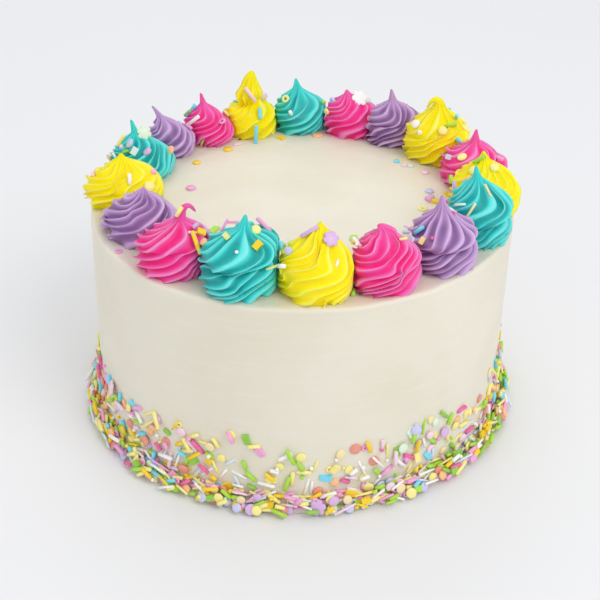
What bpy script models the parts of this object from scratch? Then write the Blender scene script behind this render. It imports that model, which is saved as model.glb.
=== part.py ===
"""Pinata cake: a tall round cake in smooth buttercream, with a ring of eighteen piped swirls on its
top and sprinkles pressed into its foot. Metres, +Z up, origin on the base under the middle."""

import math
import random
from collections import namedtuple

import bmesh
import bpy
from mathutils import Matrix, Vector

MM = 0.001
GAP = 0.3 * MM  # between pieces that touch

# The frosted body
CAKE_RADIUS = 104.3 * MM
CAKE_HEIGHT = 110.0 * MM
CAKE_LEAN = 2.8 * MM  # the top sits this far to +X of the foot
RIM_ROUND = 2.4 * MM
WALL_WAVE = 0.35 * MM  # how far the spatula left the wall from a true circle
FOOT_SPREAD = 4.0 * MM  # cream squeezed out under the heap of sprinkles
FOOT_RISE = 9.0 * MM
FOOT_POWER = 1.6
BODY_SIDES = 60

# The piped swirls
RIDGES = 9
TIP_RADIUS = 0.7
DOME_START = 0.55  # share of the tip's length at which the dome begins
DOME_POWERS = (1.6, 1.1)  # how a dome rounds over, and how it falls away from the tip
TIP_POWER = 1.3
BLEND = 3.0  # how sharply the tip meets the dome
LEAN_START = 0.35  # share of the height below which a swirl stands upright
LEAN_POWER = 1.4
SEAM_PINCH = 0.17
SEAM_TILT = 0.07  # the seam climbs by this share of a swirl's height, each way
Swirl = namedtuple("Swirl", "colour azimuth ring radius height lean tip thick shoulder seam")
# Azimuth in degrees from +X, then in millimetres: distance from the cake's axis, radius, height, how
# far the pulled tip leans to +X, the tip's length and its radius below. Shoulder is the depth of the
# dome as a share of the height, and seam runs from 0 for none to 1 for a deep one between the coils.
SWIRLS = (
    Swirl("purple", -157, 84.5, 18.6, 23.5, 3.4, 2.5, 2.0, 0.62, 0.25),
    Swirl("pink", -131.5, 88.5, 16.8, 32.0, 8.8, 12.0, 4.4, 0.34, 0.35),
    Swirl("teal", -109, 86.5, 18.8, 34.5, 2.9, 10.5, 4.6, 0.30, 1.0),
    Swirl("yellow", -86.5, 86.0, 17.6, 33.0, 2.2, 5.0, 4.0, 0.52, 0.10),
    Swirl("pink", -66, 88.5, 15.8, 30.0, -2.8, 5.5, 4.2, 0.50, 0.45),
    Swirl("purple", -45, 90.0, 15.0, 34.5, -1.6, 11.0, 5.0, 0.36, 0.9),
    Swirl("teal", -24.5, 91.0, 15.6, 36.5, -3.1, 8.0, 2.6, 0.40, 0.7),
    Swirl("yellow", -5.5, 89.0, 17.8, 30.5, -1.9, 7.0, 4.4, 0.46, 0.2),
    Swirl("pink", 15.5, 90.0, 17.5, 26.5, 0.7, 8.0, 3.2, 0.42, 0.6),
    Swirl("yellow", 37, 89.0, 17.5, 31.0, -3.3, 9.0, 4.6, 0.45, 0.4),
    Swirl("purple", 56, 89.0, 15.3, 28.0, -2.1, 7.0, 2.4, 0.40, 0.4),
    Swirl("pink", 72.5, 90.0, 15.8, 24.0, -2.9, 4.0, 2.6, 0.50, 0.3),
    Swirl("teal", 91, 91.0, 15.0, 28.5, -2.1, 6.0, 3.2, 0.50, 0.3),
    Swirl("yellow", 108.5, 91.5, 15.0, 32.0, 3.9, 7.0, 4.6, 0.42, 0.9),
    Swirl("pink", 125, 91.0, 14.2, 26.0, -2.7, 5.0, 2.0, 0.44, 0.3),
    Swirl("purple", 140, 92.0, 13.4, 23.5, -8.0, 5.5, 1.6, 0.42, 0.3),
    Swirl("teal", 158, 90.5, 18.0, 27.0, -2.3, 6.0, 2.0, 0.44, 0.2),
    Swirl("yellow", 180, 88.5, 19.0, 25.5, -0.3, 4.0, 3.0, 0.52, 0.2),
)
# Each level of a swirl: share of its height, ridge depth as a share of the local radius, and how
# far its ridges have turned, in degrees.
Level = namedtuple("Level", "up ridge turn")
LEVELS = (
    Level(0.00, 0.12, 0),
    Level(0.11, 0.13, 24),
    Level(0.25, 0.13, 54),
    Level(0.37, 0.12, 80),
    Level(0.49, 0.13, 106),
    Level(0.62, 0.14, 134),
    Level(0.75, 0.16, 160),
    Level(0.86, 0.18, 178),
    Level(0.95, 0.12, 188),
)
SEAM_LEVEL = 3

# Sprinkles
Kind = namedtuple("Kind", "length width thick sides share")
KINDS = (
    Kind(9.0 * MM, 2.1 * MM, 2.1 * MM, 6, 0.42),  # rod
    Kind(5.6 * MM, 5.6 * MM, 1.5 * MM, 6, 0.20),  # round confetti
    Kind(5.4 * MM, 3.2 * MM, 1.5 * MM, 4, 0.26),  # short flat strip
    Kind(8.6 * MM, 8.6 * MM, 1.6 * MM, 7, 0.12),  # flat flower
)
BAND_COUNT = 176
BAND_TOP = 44.0 * MM
FOOT_SHARE = 0.46  # of the band's sprinkles, those heaped right at the foot
BAND_SPACING = 5.2 * MM
BAND_TRIES = 30
HEAP_HEIGHTS = (1.0 * MM, 6.0 * MM)
HEAP_TILTS = (0.2, 1.0)
HEAP_ROLL = 0.5
WALL_START = 7.0 * MM
WALL_THINNING = 1.7  # above 1, the wall's sprinkles crowd towards the foot
WALL_TILT = 0.12
LENGTHS = (0.8, 1.2)  # of a sprinkle, against its kind's
TOP_COUNT = 14
TOP_RING = (50 * MM, 61 * MM)
SWIRL_SPRINKLES = 2
SWIRL_SPRINKLE_LEVELS = (2, 4, 5)
SWIRL_SPRINKLE_SCALE = 0.75
SWIRL_SPRINKLE_SPREAD = 0.55  # radians to either side of straight out or straight in
SINK = 0.05  # share of its thickness that a sprinkle's middle lies under the cream
HEAP_LIFT = 0.25  # in the heap it stands out by this share instead
SEED = 11

COLOURS = {
    "cream": (0.80, 0.76, 0.62),
    "pink": (0.84, 0.05, 0.26),
    "teal": (0.02, 0.48, 0.45),
    "yellow": (1.00, 0.80, 0.01),
    "purple": (0.35, 0.19, 0.49),
}


def clear_scene():
    for obj in list(bpy.data.objects):
        bpy.data.objects.remove(obj, do_unlink=True)


def collection_of(name):
    collection = bpy.data.collections.new(name)
    bpy.context.scene.collection.children.link(collection)
    return collection


def frosting(name):
    material = bpy.data.materials.new(name)
    material.use_nodes = True
    shader = material.node_tree.nodes["Principled BSDF"]
    shader.inputs["Base Color"].default_value = (*COLOURS[name], 1)
    shader.inputs["Roughness"].default_value = 0.5
    shader.inputs["Metallic"].default_value = 0
    return material


def object_of(name, mesh, collection):
    obj = bpy.data.objects.new(name, mesh)
    collection.objects.link(obj)
    return obj


def mesh_of(name, bm):
    mesh = bpy.data.meshes.new(name)
    bm.to_mesh(mesh)
    bm.free()
    return mesh


def lean_at(height):
    """How far the cake's axis lies from x = 0 at a height above the base."""
    return CAKE_LEAN * (height / CAKE_HEIGHT - 0.5)


def wall_wave(angle, height):
    slow = math.sin(2 * angle + 0.6) + 0.6 * math.sin(3 * angle + 2.1 + 20 * height)
    return WALL_WAVE * (slow + 0.5 * math.sin(7 * angle + 45 * height)) / 2


def foot_out(height):
    """How far the squeezed cream at the foot stands out from the wall."""
    return FOOT_SPREAD * max(0.0, 1 - height / FOOT_RISE) ** FOOT_POWER


def turned_profile():
    """Half outline of the body, from the middle of its top down to the middle of its base."""
    arc = [math.radians(a) for a in (90, 50, 0)]
    points = [(0.0, CAKE_HEIGHT)]
    inner = CAKE_RADIUS - RIM_ROUND
    points += [
        (inner + RIM_ROUND * math.cos(a), CAKE_HEIGHT - RIM_ROUND + RIM_ROUND * math.sin(a))
        for a in arc
    ]
    heights = (0.66 * CAKE_HEIGHT, 0.33 * CAKE_HEIGHT, FOOT_RISE, 0.3 * FOOT_RISE, 0.0)
    points += [(CAKE_RADIUS + foot_out(z), z) for z in heights]
    return points + [(0.0, 0.0)]


def frosted_body(collection):
    mesh = bpy.data.meshes.new("body_profile")
    points = turned_profile()
    mesh.from_pydata([(x, 0, z) for x, z in points], [(i, i + 1) for i in range(len(points) - 1)], [])
    profile = object_of("body_profile", mesh, collection)
    screw = profile.modifiers.new("turn", "SCREW")
    screw.steps = screw.render_steps = BODY_SIDES
    screw.use_merge_vertices = True
    screw.merge_threshold = 0.01 * MM
    body_mesh = bpy.data.meshes.new_from_object(
        profile.evaluated_get(bpy.context.evaluated_depsgraph_get())
    )
    bpy.data.objects.remove(profile, do_unlink=True)
    for vertex in body_mesh.vertices:
        x, y, z = vertex.co
        radius = math.hypot(x, y)
        if radius > CAKE_RADIUS / 2:
            angle = math.atan2(y, x)
            radius += wall_wave(angle, z)
            x = radius * math.cos(angle)
            y = radius * math.sin(angle)
        vertex.co = (x + lean_at(z), y, z)
    bm = bmesh.new()
    bm.from_mesh(body_mesh)
    bmesh.ops.recalc_face_normals(bm, faces=bm.faces)
    return object_of("cake", mesh_of("cake", bm), collection)


def swirl_centre(swirl):
    angle = math.radians(swirl.azimuth)
    reach = swirl.ring * MM
    return Vector((lean_at(CAKE_HEIGHT) + reach * math.cos(angle), reach * math.sin(angle), 0))


def lean_share(up):
    """Only the pulled upper part of a swirl leans."""
    return max(0.0, (up - LEAN_START) / (1 - LEAN_START)) ** LEAN_POWER


def neighbour_planes(index):
    """For both neighbours: the direction towards them and the distance to the face shared with them."""
    swirl = SWIRLS[index]
    centre = swirl_centre(swirl)
    planes = []
    for other in (SWIRLS[index - 1], SWIRLS[(index + 1) % len(SWIRLS)]):
        between = swirl_centre(other) - centre
        span = between.length
        towards = span / 2 + (swirl.radius**2 - other.radius**2) * MM * MM / (2 * span)
        planes.append((between.normalized(), towards - GAP / 2))
    return centre, planes


def held_back(offset, planes):
    """Shortens a horizontal offset from a swirl's axis where it would cross into a neighbour."""
    for direction, distance in planes:
        across = offset.dot(direction)
        if across > distance:
            offset = offset * (distance / across)
    return offset


def swirl_outline(swirl, down):
    """Radius in millimetres at a share of the height down from the tip: a dome under a pulled tip."""
    tip = swirl.tip / swirl.height
    dome = min(1.0, max(0.0, (down - DOME_START * tip) / swirl.shoulder))
    dome = swirl.radius * (1 - (1 - dome) ** DOME_POWERS[0]) ** DOME_POWERS[1]
    spike = TIP_RADIUS + swirl.thick * min(1.0, down / tip) ** TIP_POWER
    return (dome**BLEND + spike**BLEND) ** (1 / BLEND)


def swirl_point(index, angle, level, crest):
    """A point on a swirl's surface, at an angle around it and at one of its levels."""
    swirl = SWIRLS[index]
    centre, planes = neighbour_planes(index)
    axis = centre + Vector((swirl.lean * MM * lean_share(level.up), 0, 0))
    turned = angle + math.radians(level.turn)
    reach = swirl_outline(swirl, 1 - level.up) * MM * (1 + level.ridge * (crest - 1) / 2)
    up = level.up
    if level is LEVELS[SEAM_LEVEL]:
        reach *= 1 - SEAM_PINCH * swirl.seam
        up += SEAM_TILT * swirl.seam * math.cos(turned - math.radians(swirl.azimuth))
    offset = Vector((math.cos(turned), math.sin(turned), 0)) * reach
    offset = held_back(axis + offset - centre, planes)
    return centre + offset + Vector((0, 0, CAKE_HEIGHT + GAP + swirl.height * MM * up))


def piped_swirl(index, collection):
    """Ridged rings of a swirl joined into one closed shape, from its foot to its pulled tip."""
    columns = 2 * RIDGES
    bm = bmesh.new()
    rings = []
    for level in LEVELS:
        ring = []
        for column in range(columns):
            crest = 1 if column % 2 == 0 else -1
            angle = 2 * math.pi * column / columns
            ring.append(bm.verts.new(swirl_point(index, angle, level, crest)))
        rings.append(ring)
    swirl = SWIRLS[index]
    tip = swirl_centre(swirl)
    tip += Vector((swirl.lean * MM, 0, CAKE_HEIGHT + GAP + swirl.height * MM))
    apex = bm.verts.new(tip)
    bm.faces.new(list(reversed(rings[0])))
    for lower, upper in zip(rings, rings[1:]):
        for i in range(columns):
            j = (i + 1) % columns
            bm.faces.new((lower[i], lower[j], upper[j], upper[i]))
    for i in range(columns):
        bm.faces.new((rings[-1][i], rings[-1][(i + 1) % columns], apex))
    bmesh.ops.triangulate(bm, faces=bm.faces)
    bmesh.ops.recalc_face_normals(bm, faces=bm.faces)
    name = f"swirl_{index + 1:02d}_{swirl.colour}"
    return object_of(name, mesh_of(name, bm), collection)


def sprinkle(kind, place, along, normal, scale, collection):
    """A prism whose length runs along one direction and whose flat side faces the normal."""
    across = normal.cross(along).normalized()
    along = across.cross(normal).normalized()
    axes = (along, across, normal)
    size = (kind.length * scale, kind.width, kind.thick)
    bm = bmesh.new()
    if kind.sides == 4:
        bmesh.ops.create_cube(bm, size=1)
    else:
        bmesh.ops.create_cone(
            bm, cap_ends=True, segments=kind.sides, radius1=0.5, radius2=0.5, depth=1
        )
    if kind.thick == kind.width:
        axes = (across, normal, -along)
        size = (kind.width, kind.thick, kind.length * scale)
    turn = Matrix(axes).transposed().to_4x4()
    bm.transform(Matrix.Translation(place) @ turn @ Matrix.Diagonal((*size, 1)))
    lowest = min(vertex.co.z for vertex in bm.verts)
    if lowest < GAP:
        bmesh.ops.translate(bm, verts=bm.verts, vec=(0, 0, GAP - lowest))
    bmesh.ops.recalc_face_normals(bm, faces=bm.faces)
    return object_of("sprinkle", mesh_of("sprinkle", bm), collection)


def any_kind(draw):
    return draw.choices(KINDS, weights=[kind.share for kind in KINDS])[0]


def any_tangent(normal, draw):
    """A random direction square to the normal."""
    sideways = normal.orthogonal().normalized()
    return Matrix.Rotation(draw.uniform(0, 2 * math.pi), 3, normal) @ sideways


def far_from(place, others, distance):
    return all((place - other).length > distance for other in others)


def band_sprinkles(collection, draw):
    """Sprinkles on the wall, thickest at the foot and thinning out towards an uneven upper edge."""
    places = []
    heaped = round(BAND_COUNT * FOOT_SHARE)
    for i in range(BAND_COUNT):
        at_foot = i < heaped
        count = heaped if at_foot else BAND_COUNT - heaped
        for _ in range(BAND_TRIES):
            angle = 2 * math.pi * (i + draw.uniform(-0.6, 0.6)) / count
            top = BAND_TOP * (0.8 + 0.2 * math.sin(3 * angle + 1))
            height = WALL_START + top * draw.random() ** WALL_THINNING
            if at_foot:
                height = draw.uniform(*HEAP_HEIGHTS)
            reach = CAKE_RADIUS + wall_wave(angle, height) + foot_out(height)
            outward = Vector((math.cos(angle), math.sin(angle), 0))
            place = outward * reach + Vector((lean_at(height), 0, height))
            if far_from(place, places, BAND_SPACING):
                break
        places.append(place)
        kind = any_kind(draw)
        tilt = draw.uniform(*HEAP_TILTS) if at_foot else draw.uniform(-WALL_TILT, WALL_TILT)
        normal = (outward + Vector((0, 0, tilt))).normalized()
        along = any_tangent(normal, draw)
        if at_foot:
            normal = (normal + along * draw.uniform(-HEAP_ROLL, HEAP_ROLL)).normalized()
        place = place + normal * kind.thick * (HEAP_LIFT if at_foot else -SINK)
        sprinkle(kind, place, along, normal, draw.uniform(*LENGTHS), collection)


def top_sprinkles(collection, draw):
    """A few that fell on the flat top, just inside the ring of swirls."""
    up = Vector((0, 0, 1))
    for i in range(TOP_COUNT):
        angle = 2 * math.pi * (i + draw.uniform(-0.4, 0.4)) / TOP_COUNT
        reach = draw.uniform(*TOP_RING)
        kind = KINDS[i % 3]
        place = Vector((reach * math.cos(angle), reach * math.sin(angle), CAKE_HEIGHT))
        place.z -= kind.thick * SINK
        sprinkle(kind, place, any_tangent(up, draw), up, draw.uniform(*LENGTHS), collection)


def swirl_sprinkles(index, collection, draw):
    """Sprinkles caught on a swirl's outer ridges, clear of its neighbours."""
    swirl = SWIRLS[index]
    for i in range(SWIRL_SPRINKLES):
        level = LEVELS[draw.choice(SWIRL_SPRINKLE_LEVELS)]
        aside = draw.uniform(-SWIRL_SPRINKLE_SPREAD, SWIRL_SPRINKLE_SPREAD)
        facing = math.radians(swirl.azimuth) + aside + math.pi * (i % 2)
        ridge = round((facing - math.radians(level.turn)) / (2 * math.pi / RIDGES))
        angle = ridge * 2 * math.pi / RIDGES
        place = swirl_point(index, angle, level, 1)
        turned = angle + math.radians(level.turn)
        normal = Vector((math.cos(turned), math.sin(turned), 0.9)).normalized()
        kind = draw.choice(KINDS[:3])
        place = place - normal * kind.thick * SINK
        along = any_tangent(normal, draw)
        sprinkle(kind, place, along, normal, SWIRL_SPRINKLE_SCALE, collection)


def islands_of(bm):
    """Groups of faces that hang together, the largest group first."""
    waiting = set(bm.faces)
    islands = []
    while waiting:
        front = [waiting.pop()]
        island = list(front)
        while front:
            face = front.pop()
            for edge in face.edges:
                for other in edge.link_faces:
                    if other in waiting:
                        waiting.remove(other)
                        front.append(other)
                        island.append(other)
        islands.append(island)
    return sorted(islands, key=len, reverse=True)


def fuse(obj, toppings):
    """Joins every sprinkle of the collection to the object as one solid, then removes them."""
    union = obj.modifiers.new("sprinkles", "BOOLEAN")
    union.operation = "UNION"
    union.operand_type = "COLLECTION"
    union.collection = toppings
    union.solver = "EXACT"
    bpy.context.view_layer.update()
    fused = bpy.data.meshes.new_from_object(
        obj.evaluated_get(bpy.context.evaluated_depsgraph_get())
    )
    obj.modifiers.clear()
    obj.data = fused
    for topping in list(toppings.objects):
        bpy.data.objects.remove(topping, do_unlink=True)
    bpy.data.collections.remove(toppings)
    bm = bmesh.new()
    bm.from_mesh(fused)
    bmesh.ops.remove_doubles(bm, verts=bm.verts, dist=0.002 * MM)
    bmesh.ops.dissolve_degenerate(bm, edges=bm.edges, dist=0.002 * MM)
    for scrap in islands_of(bm)[1:]:
        bmesh.ops.delete(bm, geom=scrap, context="FACES")
    bmesh.ops.triangulate(bm, faces=bm.faces)
    bm.to_mesh(fused)
    bm.free()


def finish(obj, material):
    obj.data.materials.clear()
    obj.data.materials.append(material)
    obj.data.shade_smooth()
    obj.data.set_sharp_from_angle(angle=math.radians(40))


def main():
    clear_scene()
    draw = random.Random(SEED)
    parts = collection_of("pinata_cake")
    materials = {name: frosting(name) for name in COLOURS}
    body = frosted_body(parts)
    toppings = collection_of("cake_sprinkles")
    band_sprinkles(toppings, draw)
    top_sprinkles(toppings, draw)
    fuse(body, toppings)
    finish(body, materials["cream"])
    for index, swirl in enumerate(SWIRLS):
        piped = piped_swirl(index, parts)
        toppings = collection_of(f"swirl_{index + 1:02d}_sprinkles")
        swirl_sprinkles(index, toppings, draw)
        fuse(piped, toppings)
        finish(piped, materials[swirl.colour])


main()
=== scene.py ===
import math
import random
from collections import namedtuple
from math import cos, pi, radians, sin

import bmesh
import bpy
import numpy as np
from mathutils import Euler, Matrix, Vector, noise
from mathutils.bvhtree import BVHTree


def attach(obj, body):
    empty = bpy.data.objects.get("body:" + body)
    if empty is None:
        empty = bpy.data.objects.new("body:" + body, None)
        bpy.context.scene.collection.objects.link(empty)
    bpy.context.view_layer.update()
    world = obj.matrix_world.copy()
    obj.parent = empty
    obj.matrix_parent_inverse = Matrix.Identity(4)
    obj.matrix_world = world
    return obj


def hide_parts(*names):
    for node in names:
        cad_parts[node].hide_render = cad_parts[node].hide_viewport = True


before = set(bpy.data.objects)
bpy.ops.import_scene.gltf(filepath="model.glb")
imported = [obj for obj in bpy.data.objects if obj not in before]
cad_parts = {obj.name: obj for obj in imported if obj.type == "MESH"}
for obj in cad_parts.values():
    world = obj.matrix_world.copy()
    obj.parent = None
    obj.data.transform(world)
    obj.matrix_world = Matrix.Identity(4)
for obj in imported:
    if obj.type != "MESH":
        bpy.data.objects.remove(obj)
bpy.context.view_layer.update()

mm = 0.001


# Shader and geometry trees, written as sums

class Wire:  # one socket, usable in Python sums
    def __init__(self, sheet, socket):
        self.sheet = sheet
        self.socket = socket

    def maths(self, operation, *values):
        return self.sheet.add(self.sheet.mathsNode, {"operation": operation}, list(values))

    def of(self, operation, *others):  # this socket first, as in a.of("POWER", 2)
        return self.maths(operation, self, *others)

    def __add__(self, other): return self.maths("ADD", self, other)
    def __radd__(self, other): return self.maths("ADD", other, self)
    def __sub__(self, other): return self.maths("SUBTRACT", self, other)
    def __rsub__(self, other): return self.maths("SUBTRACT", other, self)
    def __mul__(self, other): return self.maths("MULTIPLY", self, other)
    def __rmul__(self, other): return self.maths("MULTIPLY", other, self)
    def __truediv__(self, other): return self.maths("DIVIDE", self, other)
    def __pow__(self, other): return self.maths("POWER", self, other)


class Sheet:  # a node tree being written
    mathsNode = "ShaderNodeMath"

    def __init__(self, tree):
        self.tree = tree
        tree.nodes.clear()

    def add(self, kind, settings=None, values=None, out=0):
        node = self.tree.nodes.new(kind)
        for name, value in (settings or {}).items():
            if name == "stops":
                ramp = node.color_ramp.elements
                while len(ramp) < len(value):
                    ramp.new(1)
                for stop, (place, colour) in zip(ramp, value):
                    stop.position = place
                    stop.color = colour
            elif name == "interpolation":
                node.color_ramp.interpolation = value
            else:
                setattr(node, name, value)
        pairs = enumerate(values) if isinstance(values, (list, tuple)) else (values or {}).items()
        for key, value in pairs:
            if isinstance(value, Wire):
                self.tree.links.new(value.socket, node.inputs[key])
            elif value is not None:
                node.inputs[key].default_value = value
        return Wire(self, node.outputs[out]) if len(node.outputs) else None


def linear(red, green, blue):  # screen colour 0-255 to a linear one
    def one(part):
        part /= 255
        return part / 12.92 if part < 0.04045 else ((part + 0.055) / 1.055) ** 2.4
    return (one(red), one(green), one(blue), 1.0)


def blended(sheet, share, first, second):  # colour mix
    return sheet.add("ShaderNodeMix", {"data_type": "RGBA"}, {0: share, 6: first, 7: second}, 2)


def blotches(sheet, scale, detail=2.0, roughness=0.5, stretch=None):  # noise on Object coordinates
    place = sheet.add("ShaderNodeTexCoord", out=3)
    if stretch:
        place = sheet.add("ShaderNodeMapping", None, {0: place, 3: stretch})
    return sheet.add("ShaderNodeTexNoise", None, {0: place, 2: scale, 3: detail, 4: roughness})


def ranged(sheet, value, low, high, least=0.0, most=1.0):  # value, spread from low-high to least-most
    return sheet.add("ShaderNodeMapRange", None, {0: value, 1: low, 2: high, 3: least, 4: most})


def bumped(sheet, look, height):
    return sheet.add("ShaderNodeBump", None, {
        "Strength": look["bump"], "Distance": look["bumpHeight"], "Height": height,
    })


def surfaced(sheet, values):  # the surface's shader and the material's output
    shader = sheet.add("ShaderNodeBsdfPrincipled", None, values)
    sheet.add("ShaderNodeOutputMaterial", None, {0: shader})


def finished(name, build):
    material = bpy.data.materials.new(name)
    material.use_nodes = True
    build(Sheet(material.node_tree))
    return material


# Meshes

def linked(name, data):  # a new object in the scene
    thing = bpy.data.objects.new(name, data)
    bpy.context.scene.collection.objects.link(thing)
    return thing


def meshPiece(name, points, faces, material):
    mesh = bpy.data.meshes.new(name)
    mesh.from_pydata([tuple(p) for p in points], [], faces)
    mesh.validate()
    piece = linked(name, mesh)
    mesh.materials.append(material)
    return piece


def bakedMesh(piece):  # modifiers worked into the mesh
    graph = bpy.context.evaluated_depsgraph_get()
    mesh = bpy.data.meshes.new_from_object(piece.evaluated_get(graph))
    piece.modifiers.clear()
    old, piece.data = piece.data, mesh
    bpy.data.meshes.remove(old)
    mesh.name = piece.name
    return piece


def ringFaces(rows, across):  # quads between rows of points, each row closed round
    faces = []
    for i in range(rows - 1):
        for j in range(across):
            k = (j + 1) % across
            faces.append((i * across + j, i * across + k, (i + 1) * across + k, (i + 1) * across + j))
    return faces


def smooth(x):
    x = np.clip(x, 0.0, 1.0)
    return x * x * (3 - 2 * x)


# Cake body

body = {
    "radius": 104.3, "height": 110.0, "lean": 2.8,
    "rimRound": 1.9, "rimLip": 0.6, "wallWave": 0.35, "footSpread": 4.0, "footRise": 9.0,
    "lipIn": 1.6, "lipWidth": 1.7, "lipDip": 0.35, "broadWave": 0.18,
    "scraperMarks": 0.10, "scraperFrom": 6, "topMarks": 0.16, "calmMiddle": 12,
    "across": 420, "wallRows": 90, "rimRows": 9, "topRows": 70,
}
cream = {
    "base": linear(235, 230, 214), "shade": linear(231, 224, 206), "light": linear(240, 236, 224),
    "lightest": 0.32, "roughness": 0.46, "unevenShine": 0.18,
    "glow": 0.22, "glowTints": (1.0, 0.75, 0.5), "glowDepth": 0.004,
    "cloudScale": 22, "streakScale": 60, "streakStretch": (0.35, 0.35, 6.0),
    "speckScale": 900, "pitScale": 260,
    "streakRelief": 0.2, "speckRelief": 0.12, "pitRelief": 0.3, "bump": 0.35, "bumpHeight": 0.0006,
}


def creamFinish(sheet):
    cloud = blotches(sheet, cream["cloudScale"], 3.0)
    streak = blotches(sheet, cream["streakScale"], 4.0, 0.6, cream["streakStretch"])
    speck = blotches(sheet, cream["speckScale"], 2.0)
    colour = blended(sheet, ranged(sheet, cloud, 0.38, 0.62), cream["shade"], cream["base"])
    lit = ranged(sheet, streak, 0.50, 0.75, 0.0, cream["lightest"])
    colour = blended(sheet, lit, colour, cream["light"])
    place = sheet.add("ShaderNodeTexCoord", out=3)
    pits = sheet.add("ShaderNodeTexVoronoi", {"feature": "F1"}, {0: place, 2: cream["pitScale"]})
    pit = ranged(sheet, pits, 0.03, 0.14)
    height = streak * cream["streakRelief"] + speck * cream["speckRelief"] + pit * cream["pitRelief"]
    surfaced(sheet, {
        "Base Color": colour,
        "Roughness": cream["roughness"] + (streak - 0.5) * cream["unevenShine"],
        "Subsurface Weight": cream["glow"],
        "Subsurface Radius": cream["glowTints"],
        "Subsurface Scale": cream["glowDepth"],
        "IOR": 1.45,
        "Normal": bumped(sheet, cream, height),
    })


def leanAt(z):
    return body["lean"] * (z / body["height"] - 0.5)


def wallWave(angle, z):
    slow = sin(2 * angle + 0.6) + 0.6 * sin(3 * angle + 2.1 + 0.020 * z)
    return body["wallWave"] * (slow + 0.5 * sin(7 * angle + 0.045 * z)) / 2


def footOut(z):
    return body["footSpread"] * max(0.0, 1 - z / body["footRise"]) ** 1.6


def bodyProfile():  # (radius, height, kind) from the base up and over to the middle
    rows = [(0.0, 0.0, "base"), (body["radius"] * 0.6, 0.0, "base")]
    straight = body["height"] - body["rimRound"]
    for i in range(body["wallRows"] + 1):
        z = straight * (i / body["wallRows"]) ** 1.15
        rows.append((body["radius"] + footOut(z), z, "wall"))
    inner = body["radius"] - body["rimRound"]
    for i in range(1, body["rimRows"] + 1):
        turn = pi / 2 * i / body["rimRows"]
        rows.append((inner + body["rimRound"] * cos(turn), straight + body["rimRound"] * sin(turn), "rim"))
    for i in range(1, body["topRows"]):
        rows.append((inner * (1 - i / body["topRows"]), body["height"], "top"))
    rows.append((0.0, body["height"], "top"))
    return rows


def wallPoint(angle, z):  # on the wall, in mm
    reach = body["radius"] + wallWave(angle, z) + footOut(z)
    return Vector((reach * cos(angle) + leanAt(z), reach * sin(angle), z))


def scraped(here, z):  # marks of the scraper on the wall, in mm outwards
    marks = noise.noise(Vector((here.x * 3, here.y * 3, z / 2.2)))
    broad = noise.noise(Vector((here.x * 2 + 9, here.y * 2, z / 26)))
    return body["scraperMarks"] * marks * min(1, z / body["scraperFrom"]) + body["broadWave"] * broad


def lipAt(here):  # how uneven the rim's lip is here
    coarse = noise.noise(Vector((here.x * 7, here.y * 7, 4)))
    return coarse + 0.5 * noise.noise(Vector((here.x * 24, here.y * 24, 8)))


def swept(radius, angle):  # strokes of the knife on the top, in mm upwards
    sweep = noise.noise(Vector((radius * 0.5, angle * 1.3 + radius * 0.02, 2)))
    sweep += 0.6 * noise.noise(Vector((radius * cos(angle) * 0.05, radius * sin(angle) * 0.35, 7)))
    return body["topMarks"] * sweep * min(1.0, radius / body["calmMiddle"])


def bodyPoint(radius, z, kind, angle):  # in metres, with the relief of its place
    here = Vector((cos(angle), sin(angle), 0))
    out = wallWave(angle, z) * min(1.0, radius / body["radius"]) if kind != "base" else 0.0
    up = 0.0
    if kind in ("wall", "rim"):
        out += scraped(here, z)
    if kind in ("rim", "top"):
        lip = lipAt(here)
        near = math.exp(-((radius - body["radius"] + body["lipIn"]) / body["lipWidth"]) ** 2)
        up += body["rimLip"] * max(-body["lipDip"], lip) * near
        out += 0.5 * body["rimLip"] * lip * near
    if kind == "top":
        up += swept(radius, angle)
    reach = max(0.0, radius + out) if radius > 0 else 0.0
    return mm * (reach * here.x + leanAt(z)), mm * reach * here.y, mm * (z + up)


def frostedBody(material):
    rows, across = bodyProfile(), body["across"]
    points = [bodyPoint(*row, 2 * pi * j / across) for row in rows for j in range(across)]
    piece = meshPiece("cake_cream", points, ringFaces(len(rows), across), material)
    closedAndOutward(piece)
    return piece


def keepLargest(bm):
    islands, left = [], set(bm.verts)
    while left:
        island, edge = set(), [left.pop()]
        while edge:
            vert = edge.pop()
            island.add(vert)
            near = {e.other_vert(vert) for e in vert.link_edges} & left
            left -= near
            edge.extend(near)
        islands.append(island)
    islands.sort(key=len)
    for island in islands[:-1]:
        bmesh.ops.delete(bm, geom=list(island), context="VERTS")


def closedAndOutward(piece, distance=0.004 * mm):  # points nearer than the distance become one
    bm = bmesh.new()
    bm.from_mesh(piece.data)
    if distance:
        keepLargest(bm)
        bmesh.ops.remove_doubles(bm, verts=bm.verts, dist=distance)
        bmesh.ops.dissolve_degenerate(bm, edges=bm.edges, dist=distance)
    bmesh.ops.recalc_face_normals(bm, faces=bm.faces)
    if bm.calc_volume(signed=True) < 0:  # deep folds can mislead the step before
        bmesh.ops.reverse_faces(bm, faces=bm.faces)
    bm.to_mesh(piece.data)
    bm.free()
    piece.data.shade_smooth()


# Piped swirls

piping = {
    "perRidge": 18, "rows": 100, "tipRadius": 0.7, "blend": 3.0,
    "sharp": 0.80, "skew": 0.55, "footDepth": 1.35, "rise": (86.0, 27.0), "riseWidth": 0.22,
    "uneven": 0.036, "wander": 0.13, "touchGap": 0.15, "seamDepth": 3.3, "seamWidth": 1.6,
    "hookFrom": 0.80, "crestAt": 0.88, "seamFade": 0.15, "upperLip": 1.3, "lowerLip": 0.8,
    "pressSoft": 0.8, "samples": 600, "seed": 31,
}
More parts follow.
